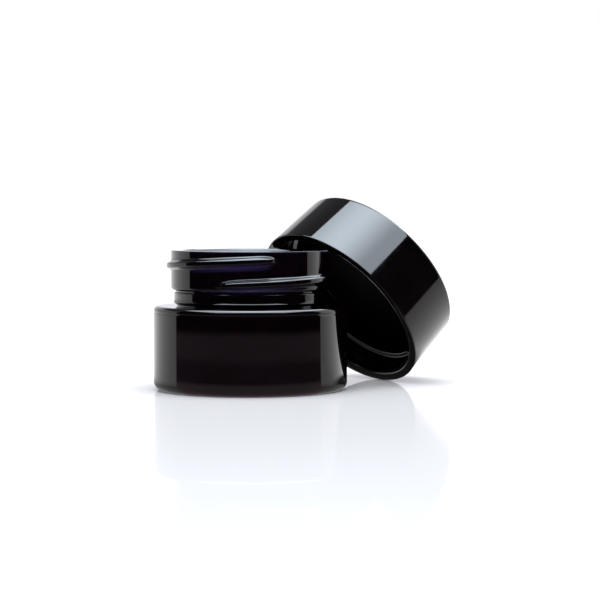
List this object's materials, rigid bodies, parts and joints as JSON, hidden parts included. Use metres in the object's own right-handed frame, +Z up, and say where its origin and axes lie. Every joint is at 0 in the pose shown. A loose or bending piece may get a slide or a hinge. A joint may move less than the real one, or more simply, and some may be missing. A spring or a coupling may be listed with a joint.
{
  "type": "cosmetic cream jar",
  "caption": "Small thick-walled glass cream jar with a screw neck, and its glossy black screw lid taken off and leaning with its mouth on the rim.",
  "frame": {"origin": "middle of the jar's base, on the jar's axis and on the table", "axes": "+Z up along the jar's axis, +X to the right in the picture, +Y away from the viewer; the lid leans on the side between +X and +Y"},
  "size_m": [0.0595, 0.0547, 0.0377],
  "materials": {
    "violet_glass": "very dark violet glass, almost opaque, fire-polished",
    "black_plastic": "glossy black moulded plastic",
    "liner_foam": "smooth dark foam sheet"
  },
  "bodies": {
    "jar": {"glass_jar": "violet_glass"},
    "liner": {"lid_liner": "liner_foam"},
    "lid": {"screw_lid": "black_plastic"}
  },
  "joints": [
    {"name": "lid_lift", "type": "slide", "parent": "jar", "child": "liner", "axis": [0, 0, 1], "range_m": [0, 0.035]},
    {"name": "lid_turn", "type": "hinge", "parent": "liner", "child": "lid", "pos_m": [0.01794, 0.01323, 0.01506], "axis": [0.6346, 0.4679, 0.6151], "continuous": true}
  ]
}
